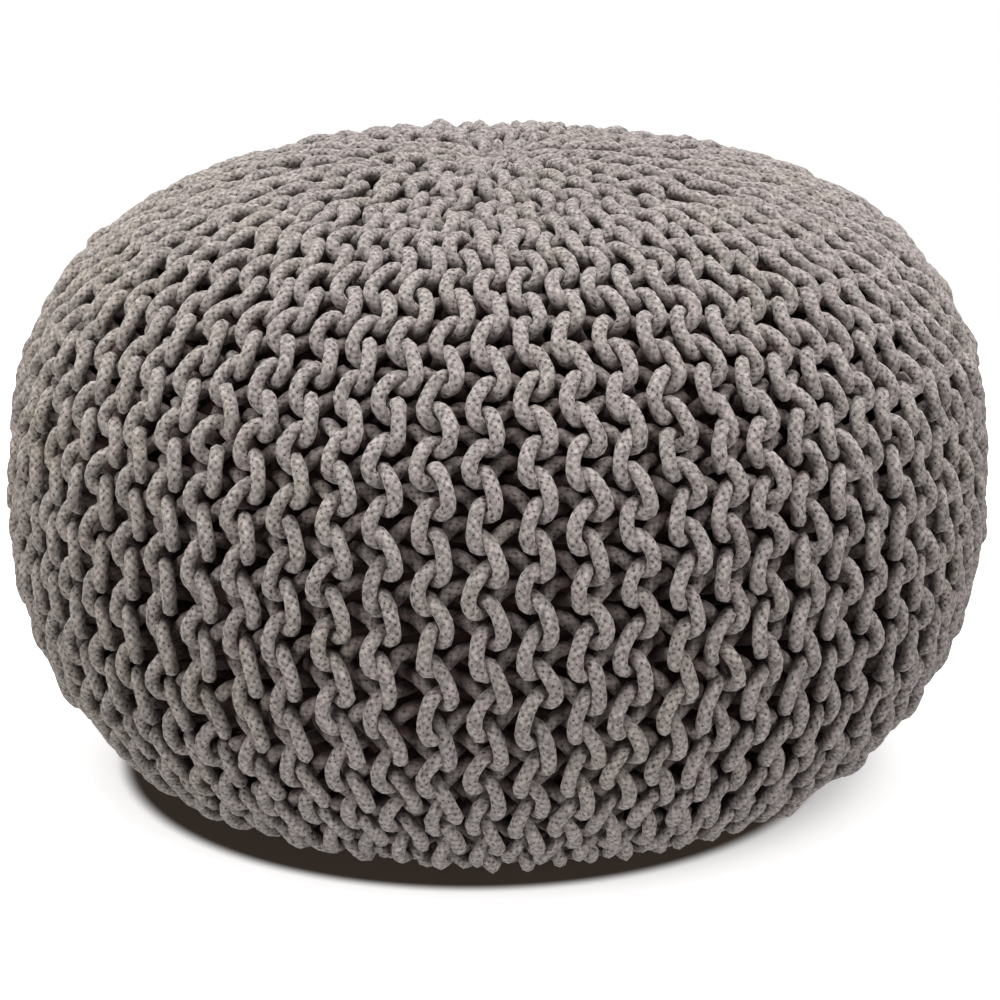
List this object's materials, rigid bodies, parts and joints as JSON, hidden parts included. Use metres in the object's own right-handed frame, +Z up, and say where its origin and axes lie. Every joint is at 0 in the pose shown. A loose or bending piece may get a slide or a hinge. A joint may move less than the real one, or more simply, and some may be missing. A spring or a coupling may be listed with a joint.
{
  "type": "knitted pouf",
  "caption": "Round filled floor pouf in a cover of thick knitted cord, ridged from its gathered middle over the side to a flat base, for sitting on or resting feet.",
  "frame": {"origin": "middle of the flat foot, on the floor", "axes": "+Z up along the axis on which the ridges meet; +X and +Y across, and -Y is the side that faces the viewer"},
  "size_m": [0.55, 0.55, 0.3448],
  "materials": {
    "knit_cord": "matte braided cotton cord, warm grey, with small dark gaps between its strands"
  },
  "bodies": {
    "root": {"knitted_pouf": "knit_cord"}
  },
  "joints": []
}
